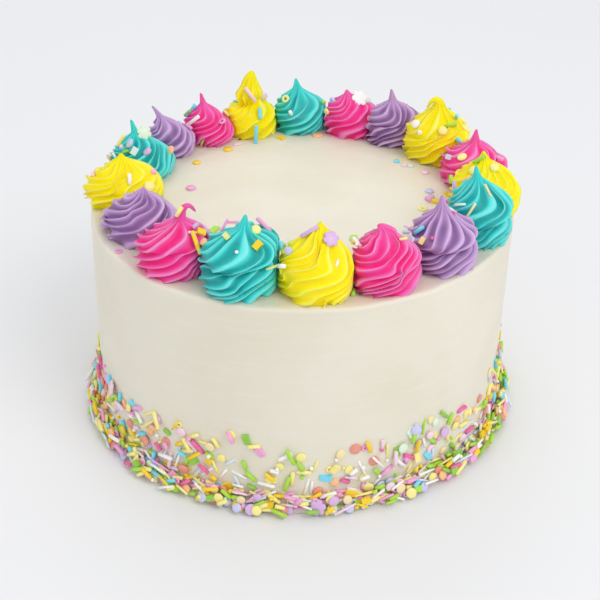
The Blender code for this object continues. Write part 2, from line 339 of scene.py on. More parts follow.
# azimuth in degrees, then in mm: ring, radius, height, lean of the tip to +X, tip: length of the
# pulled point and thick: its radius below. neck: share of the tip above the dome. As shares of the
# height: shoulder: depth of the dome, bend: where the ridges turn from the tip into sweeps. seam:
# 0 none to 1 a deep one between the coils, which starts at the share seamAt and climbs by seamRise
# in one turn from the angle start. hook: how far in mm the point curls over to +X. swell: below 1
# the pulled point is fat at once. sway: how far in radians the ridges swing from side to side.
# drop: how far in mm a curled point falls
Swirl = namedtuple(
    "Swirl",
    "colour azimuth ring radius height lean tip thick neck shoulder bend ridges depth "
    "seam seamAt seamRise start hook swell sway drop",
    defaults=(1.3, 0.16, 0),
)
swirls = [
    Swirl("purple", -157, 84.5, 18.6, 23.5, 3.4, 2.5, 2.0, .55, .62, .12, 9, 2.9, .25, .30, .25, 60,
          0, 1.3, .20),
    Swirl("pink", -131, 88.5, 16.6, 35.5, 7.2, 17.0, 3.8, .62, .30, .36, 12, 2.14, .35, .25, .30, 130,
          3.4, 1.3, .22, 7.6),
    Swirl("teal", -108.6, 86.5, 18.4, 34.5, 2.9, 10.5, 4.6, .55, .30, .28, 13, 2.14, 1.0, .27, .40, 150, 0),
    Swirl("yellow", -86.5, 86.0, 17.6, 33.0, 2.2, 5.0, 4.0, .55, .52, .28, 13, 1.85, .10, .20, .40, 90,
          0, 1.3, .26),
    Swirl("pink", -66.4, 88.5, 15.5, 31.0, -1.0, 5.5, 4.2, .55, .50, .22, 12, 2.15, .45, .22, .30, 170,
          -2.6, 1.3, .26, 2.8),
    Swirl("purple", -45.6, 89.6, 14.9, 34.5, -1.6, 11.0, 5.0, .55, .36, .36, 13, 1.95, .9, .25, .25, 150, 0),
    Swirl("teal", -24.8, 90.5, 15.5, 36.5, -3.1, 8.0, 2.6, .60, .40, .28, 12, 1.95, .7, .20, .35, 190, 0),
    Swirl("yellow", -5.5, 89.0, 17.8, 30.5, -1.9, 7.0, 4.4, .55, .46, .24, 13, 1.77, .2, .25, .30, 90, 0),
    Swirl("pink", 15.5, 90.0, 17.5, 27.5, .7, 9.0, 3.2, .70, .42, .30, 10, 2.23, .6, .25, .30, 100, 0),
    Swirl("yellow", 37, 89.0, 17.4, 35.8, .4, 13.0, 5.3, .60, .42, .36, 12, 1.95, .4, .25, .30, 60,
          -6.4, 1.3, .16, 9.4),
    Swirl("purple", 56, 89.0, 15.3, 29.0, -2.1, 9.0, 2.6, .62, .40, .30, 12, 1.95, .4, .25, .30, 20, 0),
    Swirl("pink", 72.5, 90.0, 15.8, 24.0, -2.9, 4.0, 2.6, .55, .50, .20, 11, 1.95, .3, .25, .30, 300, 0),
    Swirl("teal", 91, 91.0, 15.0, 28.5, -2.1, 8.0, 3.0, .60, .48, .32, 11, 1.86, .3, .25, .30, 330, 0),
    Swirl("yellow", 108.5, 91.5, 15.0, 35.4, .6, 23.0, 10.0, .74, .32, .52, 11, 1.95, .8, .40, .14, 10,
          1.8, .85, .16, 1.5),
    Swirl("pink", 125, 91.0, 14.2, 26.5, -2.7, 7.0, 1.5, .75, .54, .30, 11, 1.95, .3, .25, .30, 80, 0),
    Swirl("purple", 140, 92.0, 13.4, 25.5, -9.0, 7.5, 1.8, .70, .50, .30, 10, 2.05, .3, .25, .30, 120, 0),
    Swirl("teal", 158, 90.5, 18.0, 28.5, -3.6, 9.5, 2.0, .62, .60, .32, 12, 2.14, .2, .25, .30, 40, 0),
    Swirl("yellow", 180, 88.5, 19.0, 25.5, -.3, 4.0, 3.0, .55, .52, .20, 12, 2.1, .2, .20, .30, 60,
          0, 1.3, .20),
]
# Per icing: its own colour, then a painted highlight for the crests (also mixed in at random as paler
# clouds), then painted shade for the grooves between the ridges
icing = {
    "pink": dict(mid=linear(248, 108, 188), light=linear(254, 176, 220), deep=linear(240, 0, 124)),
    "teal": dict(mid=linear(74, 230, 226), light=linear(160, 240, 238), deep=linear(0, 152, 152)),
    "yellow": dict(mid=linear(255, 244, 4), light=linear(255, 250, 150), deep=linear(255, 230, 0)),
    "purple": dict(mid=linear(208, 170, 222), light=linear(224, 200, 234), deep=linear(124, 86, 142)),
}


# How much painted shade goes into the grooves and how much painted highlight onto the crests at most, and how
# much of the paler clouds
icingLook = {
    "deepest": 0.9, "lightest": 0.85, "cloudLight": 0.10, "cloudScale": 120, "fineScale": 1500,
    "roughness": 0.44, "unevenShine": 0.2, "gloss": 0.28, "bump": 0.25, "bumpHeight": 0.0003,
    "glow": 0.18, "glowTints": (1.0, 0.7, 0.6), "glowDepth": 0.002,
}


def icingFinish(tints):
    def build(sheet):
        crest = sheet.add("ShaderNodeAttribute", {"attribute_name": "crest"}, out=2)
        cloud = blotches(sheet, icingLook["cloudScale"], 2.0)
        fine = blotches(sheet, icingLook["fineScale"], 3.0, 0.6)
        # Painted shade in the grooves and a painted highlight along the crests, both set by the crest
        # attribute
        deep = ranged(sheet, crest, 0.0, -1.0, 0.0, icingLook["deepest"])
        light = ranged(sheet, crest, 0.25, 1.0, 0.0, icingLook["lightest"])
        colour = blended(sheet, deep, tints["mid"], tints["deep"])
        colour = blended(sheet, light, colour, tints["light"])
        cloudy = ranged(sheet, cloud, 0.5, 0.75, 0.0, icingLook["cloudLight"])
        colour = blended(sheet, cloudy, colour, tints["light"])
        surfaced(sheet, {
            "Base Color": colour,
            "Roughness": icingLook["roughness"] + (fine - 0.5) * icingLook["unevenShine"],
            "Specular IOR Level": icingLook["gloss"],
            "Subsurface Weight": icingLook["glow"],
            "Subsurface Radius": icingLook["glowTints"],
            "Subsurface Scale": icingLook["glowDepth"],
            "IOR": 1.45,
            "Normal": bumped(sheet, icingLook, fine * 0.5 + cloud),
        })
    return build


def swirlCentre(swirl):  # in mm, on the cake's top
    angle = radians(swirl.azimuth)
    return Vector((leanAt(body["height"]) + swirl.ring * cos(angle), swirl.ring * sin(angle), body["height"]))


def swirlOutline(swirl, s):  # radius in mm, s from 0 at the tip to 1 at the foot
    tip = swirl.tip / swirl.height
    dome = np.clip((s - swirl.neck * tip) / swirl.shoulder, 0, 1)
    dome = swirl.radius * (1 - (1 - dome) ** 1.6) ** 1.1
    spike = piping["tipRadius"] * np.clip(s * swirl.height / 0.8, 0, 1) ** 0.5
    spike = spike + swirl.thick * np.clip(s / tip, 0, 1) ** swirl.swell
    power = piping["blend"]
    return (dome ** power + spike ** power) ** (1 / power) * (1 - 0.07 * smooth((s - 0.84) / 0.16))


def outlineRows(swirl):  # share of the height, radius, twist and tilt of each row, tip to foot
    fine = np.linspace(0, 1, piping["samples"])
    reach, height = swirlOutline(swirl, fine), swirl.height
    arc = np.concatenate([[0], np.cumsum(np.hypot(np.diff(reach), np.diff(fine) * height))])
    steep, shallow = piping["rise"]
    rise = radians(steep) - radians(steep - shallow) * smooth((fine - swirl.bend) / piping["riseWidth"])
    step = np.diff(arc, prepend=0)
    twist = np.cumsum(step / np.tan(rise) / np.maximum(reach, 1.5))
    even = np.linspace(0, arc[-1], piping["rows"])
    s = np.interp(even, arc, fine)
    reach, twist = np.interp(even, arc, reach), np.interp(even, arc, twist)
    tilt = np.arctan2(np.gradient(reach, even), height * np.gradient(s, even))
    return [row[:, None] for row in (s, reach, twist, tilt)]


def ridgeAngles(swirl, draw, s, twist, column, ridge):  # direction of each point, in radians
    wander = np.sin(3.1 * s + draw.uniform(0, 6, swirl.ridges)[ridge])
    wander = wander + 0.5 * np.sin(9 * s + draw.uniform(0, 6, swirl.ridges)[ridge])
    wander = piping["wander"] * wander
    angle = 2 * pi * column / swirl.ridges - twist + wander * 2 * pi / swirl.ridges + draw.uniform(0, 6)
    first, second, third = draw.uniform(0, 6, 3)
    sway = np.sin(2 * angle + 6 * s + first) + 0.6 * np.sin(3 * angle - 9 * s + second)
    sway = sway + 0.4 * np.sin(angle + 14 * s + third)
    return angle + swirl.sway * sway * smooth(s / 0.35)


def seamAlong(swirl, angle, z):  # angles below the seam, its relief in mm and where it acts
    fade, width = piping["seamFade"], piping["seamWidth"]
    turned = ((angle - radians(swirl.start)) % (2 * pi)) / (2 * pi)
    above = z - swirl.height * (swirl.seamAt + swirl.seamRise * turned)
    within = swirl.seam * smooth(turned / fade) * smooth((1 - turned) / fade)
    angle = angle - within * pi / swirl.ridges * smooth(0.5 - above / 3)
    seam = -piping["seamDepth"] * np.exp(-(above / width) ** 2)
    seam = seam + piping["upperLip"] * np.exp(-((above - 3 * width) / (1.6 * width)) ** 2)
    seam = seam + piping["lowerLip"] * np.exp(-((above + 3 * width) / (1.6 * width)) ** 2)
    return angle, seam, within


def curled(swirl, s, radius, angle, z):  # points with the tip bent over and leaning
    middle = swirl.height * (1 - s)
    over = np.clip((middle / swirl.height - piping["hookFrom"]) / (1 - piping["hookFrom"]), 0, 1)
    aside = swirl.hook * over ** 1.5
    middleUp = middle - swirl.drop * over ** 3
    lie = np.arctan2(-np.gradient(aside, axis=0), -np.gradient(middleUp, axis=0))
    x, rest = radius * np.cos(angle), z - middle
    x, z = aside + x * np.cos(lie) + rest * np.sin(lie), middleUp - x * np.sin(lie) + rest * np.cos(lie)
    up = np.clip((middle / swirl.height - 0.3) / 0.7, 0, 1)
    return np.stack([x + swirl.lean * up ** 1.4, radius * np.sin(angle), z], 2)


def swirlGrid(swirl, seed):
    # Points of one swirl in mm about its foot, row by row from the tip, and how proud each is.
    # The columns run along the ridges, so that each crest is one clean line
    draw = np.random.default_rng(seed)
    s, reach, twist, tilt = outlineRows(swirl)
    column = np.arange(swirl.ridges * piping["perRidge"])[None, :] / piping["perRidge"]
    ridge = column.astype(int) % swirl.ridges
    share = column % 1
    share = share + piping["skew"] * np.sin(2 * pi * share) / (2 * pi)
    proud = 1 - (np.sin(pi * share) ** 2 + 0.0008) ** (piping["sharp"] / 2)
    angle = ridgeAngles(swirl, draw, s, twist, column, ridge)
    z = swirl.height * (1 - s) + 0 * angle
    angle, seam, within = seamAlong(swirl, angle, z)

    phase = draw.uniform(0, 6, 4)
    lumps = np.sin(2 * angle + phase[0]) + 0.7 * np.sin(3 * angle + phase[1] + 3 * s)
    lumps = lumps + 0.5 * np.sin(5 * angle + phase[2] - 5 * s)
    strength = 1 + 0.34 * np.sin(4 * s + draw.uniform(0, 6, swirl.ridges)[ridge]) * smooth(s / 0.4)
    footDepth = 1 + (piping["footDepth"] - 1) * smooth((s - 0.6) / 0.4)
    depth = swirl.depth * strength * np.clip(reach / 9, 0.12, 1) * footDepth
    out = depth * (proud - piping["crestAt"]) + seam * within * smooth((s - 0.12) / 0.15)
    radius = reach * (1 + piping["uneven"] * lumps * smooth(s / 0.3)) + out * np.cos(tilt)
    z = z + out * np.sin(tilt)
    radius, z = np.maximum(radius, 0.08), np.maximum(z, 0)
    z[-1] = 0
    return curled(swirl, s, radius, angle, z), (2 * proud - 1) * np.clip(depth / 1.6, 0, 1)


def pressed(points, swirl, others):  # held back where it meets a neighbour
    centre, soft = swirlCentre(swirl), piping["pressSoft"]
    for other in others:
        between = swirlCentre(other) - centre
        span = between.length
        plane = span / 2 + (swirl.radius ** 2 - other.radius ** 2) / (2 * span) - piping["touchGap"]
        across = points[..., :2] @ np.array(between.to_2d().normalized())
        over = across - (plane - soft)
        kept = np.where(over > 0, plane - soft * np.exp(-np.maximum(over, 0) / soft), across)
        points[..., :2] *= (kept / np.maximum(across, 1e-6) * (across > 0) + (across <= 0))[..., None]
    return points


def pipedSwirl(index, materials):
    swirl = swirls[index]
    points, proud = swirlGrid(swirl, piping["seed"] + index)
    points = pressed(points, swirl, (swirls[index - 1], swirls[(index + 1) % len(swirls)]))
    rows, across = proud.shape
    faces = [(a, d, c, b) for a, b, c, d in ringFaces(rows, across)]
    ends = [points[0].mean(0) + (0, 0, 0.25), points[-1].mean(0)]
    count = rows * across
    for j in range(across):
        k = (j + 1) % across
        faces.append((count, j, k))
        faces.append((count + 1, count - across + k, count - across + j))
    centre = np.array(swirlCentre(swirl))
    every = np.concatenate([points.reshape(-1, 3), ends]) + centre
    piece = meshPiece(f"piped_{index + 1:02d}_{swirl.colour}", every * mm, faces, materials[swirl.colour])
    # crest: how proud each point stands, from which the icing paints shade into the grooves and a highlight
    # onto the crests
    crest = piece.data.attributes.new("crest", "FLOAT", "POINT")
    crest.data.foreach_set("value", np.concatenate([proud.ravel(), [0, 0]]).astype(np.float32))
    closedAndOutward(piece, 0)  # closed as built, and a merge would open it
    return piece


# Sprinkles: each kind is one tree that sets its shape on points and turns it into one mesh

sugarColours = {
    "green": linear(174, 226, 62), "leaf": linear(146, 206, 66), "yellow": linear(255, 216, 18),
    "sky": linear(124, 224, 252), "pink": linear(248, 170, 222), "rose": linear(238, 104, 168),
    "white": linear(252, 250, 248), "lemon": linear(254, 242, 150), "periwinkle": linear(206, 208, 246),
    "lilac": linear(222, 184, 232), "peach": linear(254, 198, 142), "salmon": linear(238, 152, 134),
    "mint": linear(226, 246, 222), "straw": linear(246, 230, 176), "blush": linear(250, 218, 234),
    "ice": linear(218, 236, 250),
}
# kind: sizes in mm, share of all sprinkles, range of lengths or widths as a factor, then its
# colours, where one that is named more often is drawn more often
kinds = {
    "rods": dict(
        sizes={"Length": 6.4, "Width": 2.1}, share=0.38, vary=(0.6, 1.45),
        colours="yellow green lemon green pink green lemon sky yellow leaf lemon rose white sky green "
                "blush lemon pink",
    ),
    "needles": dict(
        sizes={"Length": 8.5, "Width": 1.3}, share=0.24, vary=(0.7, 1.4),
        colours="lemon white pink lemon green white yellow ice blush ice lemon white pink",
    ),
    "strips": dict(
        sizes={"Length": 4.8, "Width": 3.1, "Thickness": 1.3}, share=0.08, vary=(0.85, 1.2),
        colours="green yellow sky lemon leaf yellow pink",
    ),
    "dots": dict(
        sizes={"Width": 4.9, "Thickness": 1.25}, share=0.17, vary=(0.85, 1.12),
        colours="lemon periwinkle peach lemon straw salmon mint lilac lemon blush",
    ),
    "flowers": dict(
        sizes={"Width": 8.4, "Thickness": 1.3}, share=0.018, vary=(0.9, 1.1),
        colours="lilac mint straw lemon blush",
    ),
    "hoops": dict(
        sizes={"Width": 3.4, "Thickness": 1.1}, share=0.03, vary=(0.9, 1.1),
        colours="pink white lemon yellow",
    ),
    "balls": dict(
        sizes={"Width": 2.0}, share=0.09, vary=(0.8, 1.15),
        colours="white yellow pink lemon green white rose",
    ),
}
# wall and foot: how many are tried in each part. sparse: the stretch at the front with fewer
heap = {
    "seed": 7, "wall": 1500, "foot": 1800, "bandTop": 43.0, "bandFrom": 6, "footTop": 9.0, "footOut": 9.0,
    "sink": 0.25, "pushStep": 0.45, "wallPushes": 4, "footPushes": 14, "cell": 3.0, "overlap": 0.82,
    "slope": 0.75, "slopeTop": 8.0, "tabletBall": 0.62, "clear": 0.05, "aboveFloor": 0.1,
}
sparse = {"at": -1.60, "wide": 0.26, "height": 0.86, "skip": 0.50}


def named(sheet, name, kind="FLOAT_VECTOR"):
    return sheet.add("GeometryNodeInputNamedAttribute", {"data_type": kind}, {"Name": name})


def parts(sheet):  # x, y, z of each point, and its distance from the axis
    split = sheet.tree.nodes.new("ShaderNodeSeparateXYZ")
    sheet.tree.links.new(sheet.add("GeometryNodeInputPosition").socket, split.inputs[0])
    x, y, z = (Wire(sheet, socket) for socket in split.outputs)
    return x, y, z, (x * x + y * y).of("SQRT")


def moved(sheet, shape, x, y, z):
    place = sheet.add("ShaderNodeCombineXYZ", None, [x, y, z])
    return sheet.add("GeometryNodeSetPosition", None, {0: shape, 2: place})


def rodShape(sheet, size):
    ball = sheet.add("GeometryNodeMeshUVSphere", None, {"Segments": 9, "Rings": 5, "Radius": 1.0})
    x, y, z, _ = parts(sheet)
    half, radius = size["Length"] / 2, size["Width"] / 2
    end = z.of("SIGN") * (half - radius * 0.45)
    return moved(sheet, ball, x * radius, y * radius, end + z * radius * 0.45)


def tabletShape(sheet, size, segments=14, petals=0):
    ball = sheet.add("GeometryNodeMeshUVSphere", None, {"Segments": segments, "Rings": 5, "Radius": 1.0})
    x, y, z, out = parts(sheet)
    reach = size["Width"] / 2 * out.of("MAXIMUM", 0.01) ** -0.72
    if petals:
        wave = (y.of("ARCTAN2", x) * (petals / 2)).of("COSINE").of("ABSOLUTE") ** 0.55
        reach = reach * (0.74 + 0.26 * wave)
    lift = (z.of("ABSOLUTE") + 0.25).of("MINIMUM", 1.0) * z.of("SIGN") * size["Thickness"] / 2
    return moved(sheet, ball, x * reach, y * reach, lift)


def flowerShape(sheet, size):
    return tabletShape(sheet, size, 36, 6)


def stripShape(sheet, size):
    sides = sheet.add("ShaderNodeCombineXYZ", None, [size["Width"], size["Thickness"], size["Length"]])
    return sheet.add("GeometryNodeMeshCube", None, {"Size": sides})


def hoopShape(sheet, size):
    thick = size["Thickness"] / 2
    reach = size["Width"] / 2 - thick
    ring = sheet.add("GeometryNodeCurvePrimitiveCircle", None, {"Resolution": 14, "Radius": reach})
    edge = sheet.add("GeometryNodeCurvePrimitiveCircle", None, {"Resolution": 7, "Radius": thick})
    return sheet.add("GeometryNodeCurveToMesh", None, {"Curve": ring, "Profile Curve": edge})


def ballShape(sheet, size):
    return sheet.add("GeometryNodeMeshIcoSphere", None, {"Radius": size["Width"] / 2, "Subdivisions": 2})


shapes = {
    "rods": rodShape, "needles": rodShape, "strips": stripShape, "dots": tabletShape,
    "flowers": flowerShape, "hoops": hoopShape, "balls": ballShape,
}


def sprinkleTree(kind):
    tree = bpy.data.node_groups.new("sprinkle_" + kind, "GeometryNodeTree")
    tree.interface.new_socket("Geometry", in_out="OUTPUT", socket_type="NodeSocketGeometry")
    tree.interface.new_socket("Points", in_out="INPUT", socket_type="NodeSocketGeometry")
    for title in kinds[kind]["sizes"]:
        tree.interface.new_socket(title, in_out="INPUT", socket_type="NodeSocketFloat")
    tree.interface.new_socket("Sugar", in_out="INPUT", socket_type="NodeSocketMaterial")
    sheet = Sheet(tree)
    size = {title: sheet.add("NodeGroupInput", out=title) for title in kinds[kind]["sizes"]}
    shape = shapes[kind](sheet, size)
    shape = sheet.add("GeometryNodeSetShadeSmooth", None, {0: shape, "Shade Smooth": kind != "strips"})
    turn = sheet.add("FunctionNodeEulerToRotation", None, [named(sheet, "turn")])
    spread = sheet.add("GeometryNodeInstanceOnPoints", None, {
        "Points": sheet.add("NodeGroupInput", out="Points"), "Instance": shape,
        "Rotation": turn, "Scale": named(sheet, "size"),
    })
    solid = sheet.add("GeometryNodeRealizeInstances", None, {0: spread})
    sugar = sheet.add("NodeGroupInput", out="Sugar")
    sugared = sheet.add("GeometryNodeSetMaterial", None, {"Geometry": solid, "Material": sugar})
    sheet.add("NodeGroupOutput", None, [sugared])
    return tree


def sprinklePiece(kind, placed, sugar):
    # placed: (centre in mm, Euler turn, size factors, tint) for each sprinkle of this kind
    mesh = bpy.data.meshes.new("sprinkle_" + kind)
    mesh.from_pydata([tuple(Vector(one[0]) * mm) for one in placed], [], [])
    for name, column, form, field in (
        ("turn", 1, "FLOAT_VECTOR", "vector"),
        ("size", 2, "FLOAT_VECTOR", "vector"),
        ("tint", 3, "FLOAT", "value"),
    ):
        values = np.array([one[column] for one in placed], np.float32).ravel()
        mesh.attributes.new(name, form, "POINT").data.foreach_set(field, values)
    piece = linked("sprinkle_" + kind, mesh)
    tree = sprinkleTree(kind)
    spread = piece.modifiers.new("spread", "NODES")
    spread.node_group = tree
    for item in tree.interface.items_tree:
        if item.in_out == "INPUT" and item.name in kinds[kind]["sizes"]:
            spread[item.identifier] = kinds[kind]["sizes"][item.name] * mm
        elif item.in_out == "INPUT" and item.name == "Sugar":
            spread[item.identifier] = sugar
    return bakedMesh(piece)


sugarLook = {"grainScale": 700, "grain": 0.10, "pale": linear(255, 252, 250), "roughness": 0.38}


def sugarFinish(sheet):
    tint = sheet.add("ShaderNodeAttribute", {"attribute_name": "tint"}, out=2)
    count = len(sugarColours)
    stops = [(index / count, colour) for index, colour in enumerate(sugarColours.values())]
    colour = sheet.add("ShaderNodeValToRGB", {"interpolation": "CONSTANT", "stops": stops}, [tint])
    grain = blotches(sheet, sugarLook["grainScale"], 2.0)
    pale = ranged(sheet, grain, 0.45, 0.75, 0.0, sugarLook["grain"])
    surfaced(sheet, {
        "Base Color": blended(sheet, pale, colour, sugarLook["pale"]),
        "Roughness": sugarLook["roughness"],
        "IOR": 1.5,
    })


class Pile:  # sprinkles laid so far, each kept as a few small spheres
    def __init__(self):
        self.cells = {}
        self.placed = {kind: [] for kind in kinds}

    def spheres(self, kind, centre, axis, face, stretch):
        sizes = kinds[kind]["sizes"]
        if "Length" in sizes:
            radius = sizes["Width"] / 2 if kind != "strips" else sizes["Width"] / 3
            half = sizes["Length"] * stretch / 2 - radius
            count = max(2, round(half / radius) + 1)
            return [(centre + axis * (half * (2 * i / (count - 1) - 1)), radius) for i in range(count)]
        if kind == "balls":
            return [(centre, sizes["Width"] / 2)]
        radius = sizes["Thickness"] * heap["tabletBall"]
        side = face.cross(axis)
        rings = [sizes["Width"] / 2 - radius] if kind != "flowers" else [2.0, sizes["Width"] / 2 - radius]
        found = [(centre, radius)]
        for reach in rings:
            for i in range(6):
                found.append((centre + (axis * cos(i * pi / 3) + side * sin(i * pi / 3)) * reach, radius))
        return found

    def cell(self, point):
        return tuple(int(math.floor(part / heap["cell"])) for part in point)

    def free(self, spheres):
        for point, radius in spheres:
            i, j, k = self.cell(point)
            for a in (i - 1, i, i + 1):
                for b in (j - 1, j, j + 1):
                    for c in (k - 1, k, k + 1):
                        for other, reach in self.cells.get((a, b, c), ()):
                            if (point - other).length < (radius + reach) * heap["overlap"]:
                                return False
        return True

    def keep(self, kind, centre, axis, face, stretch, tint):
        # local Z lies along a rod or strip, whose face is local Y, and stands up from a tablet
        flat = kind in ("dots", "flowers", "hoops")
        turn = Matrix((axis, face.cross(axis), face) if flat else (face.cross(axis), face, axis)).transposed()
        size = (1, 1, stretch) if not flat else (stretch, stretch, 1)
        if kind == "balls":
            size = (stretch, stretch, stretch)
        given = kinds[kind]["sizes"]
        wide = given["Width"]
        thick = given.get("Thickness", wide)
        box = (wide, wide, thick) if flat else (wide, thick, given.get("Length", wide))
        below = sum(abs(turn[2][i]) * box[i] * size[i] / 2 for i in range(3))
        centre = Vector((centre.x, centre.y, max(centre.z, below + heap["aboveFloor"])))
        for point, radius in self.spheres(kind, centre, axis, face, stretch):
            self.cells.setdefault(self.cell(point), []).append((point, radius))
        self.placed[kind].append((centre, tuple(turn.to_euler()), size, tint))


def tintOf(name):
    return (list(sugarColours).index(name) + 0.5) / len(sugarColours)


def drawnKind(draw):
    pick = draw.random() * sum(kind["share"] for kind in kinds.values())
    for name, kind in kinds.items():
        pick -= kind["share"]
        if pick <= 0:
            break
    low, high = kind["vary"]
    return name, draw.uniform(low, high), tintOf(draw.choice(kind["colours"].split()))


def thickness(kind):
    sizes = kinds[kind]["sizes"]
    return sizes.get("Thickness", sizes["Width"])


def extent(kind):  # the longest side in mm
    sizes = kinds[kind]["sizes"]
    return sizes.get("Length", sizes["Width"])


def bandEdge(angle):  # how high the sprinkles reach here, as a share of the band's top
    wave = 0.5 + 0.22 * sin(3 * angle + 1.0) + 0.16 * sin(7 * angle + 2.2) + 0.12 * sin(13 * angle + 0.4)
    return (0.66 + 0.34 * max(0.0, wave)) * (1 - (1 - sparse["height"]) * fewer(angle))


def fewer(angle):  # 1 in the middle of the sparse stretch at the front
    return math.exp(-((angle - sparse["at"]) / sparse["wide"]) ** 2)


def heapAt(angle, z):  # out, round and up at a place on the wall, and the slope of the heap there
    radial = Vector((cos(angle), sin(angle), 0))
    around = Vector((-sin(angle), cos(angle), 0))
    return radial, around, Vector((0, 0, 1)), heap["slope"] * max(0.0, 1 - z / heap["slopeTop"])


def pushedOut(pile, centre, push, pushes, lie):  # moved out step by step to where it is free, or None
    kind, axis, face, stretch = lie
    for _ in range(pushes):
        spheres = pile.spheres(kind, centre, axis, face, stretch)
        under = min(point.z - radius for point, radius in spheres)
        if under < heap["clear"]:
            centre = centre + Vector((0, 0, 1)) * (heap["clear"] - under)
            spheres = pile.spheres(kind, centre, axis, face, stretch)
        if pile.free(spheres):
            out = Vector((centre.x - leanAt(centre.z), centre.y)).length - body["radius"]
            return centre if out < heap["footOut"] else None
        centre = centre + push * heap["pushStep"]
    return None


def layBand(pile):
    draw = random.Random(heap["seed"])
    for index in range(heap["foot"] + heap["wall"]):
        atFoot = index < heap["foot"]
        kind, stretch, tint = drawnKind(draw)
        angle = draw.uniform(-pi, pi)
        if atFoot:
            z = heap["footTop"] * draw.random() ** 1.2 + 1.0
        else:
            above = heap["bandTop"] - heap["bandFrom"]
            z = heap["bandFrom"] + above * bandEdge(angle) * draw.random() ** 1.4
            if draw.random() < sparse["skip"] * fewer(angle):
                continue
        radial, around, up, slope = heapAt(angle, z)
        face = radial + up * slope + around * draw.uniform(-0.22, 0.22) + up * draw.uniform(-0.2, 0.2)
        face = face.normalized()
        rise = draw.gauss(0, 0.45) if atFoot else draw.uniform(-pi / 2, pi / 2)
        axis = around * cos(rise) + up * sin(rise)
        axis = (axis - face * axis.dot(face)).normalized()
        axis = (axis + face * draw.uniform(-0.14, 0.14)).normalized()
        face = (face - axis * face.dot(axis)).normalized()
        centre = wallPoint(angle, z) + face * (thickness(kind) / 2 - heap["sink"])
        push = (radial + up * slope * 0.6).normalized()
        pushes = heap["footPushes"] if atFoot else heap["wallPushes"]
        centre = pushedOut(pile, centre, push, pushes, (kind, axis, face, stretch))
        if centre is not None:
            pile.keep(kind, centre, axis, face, stretch, tint)


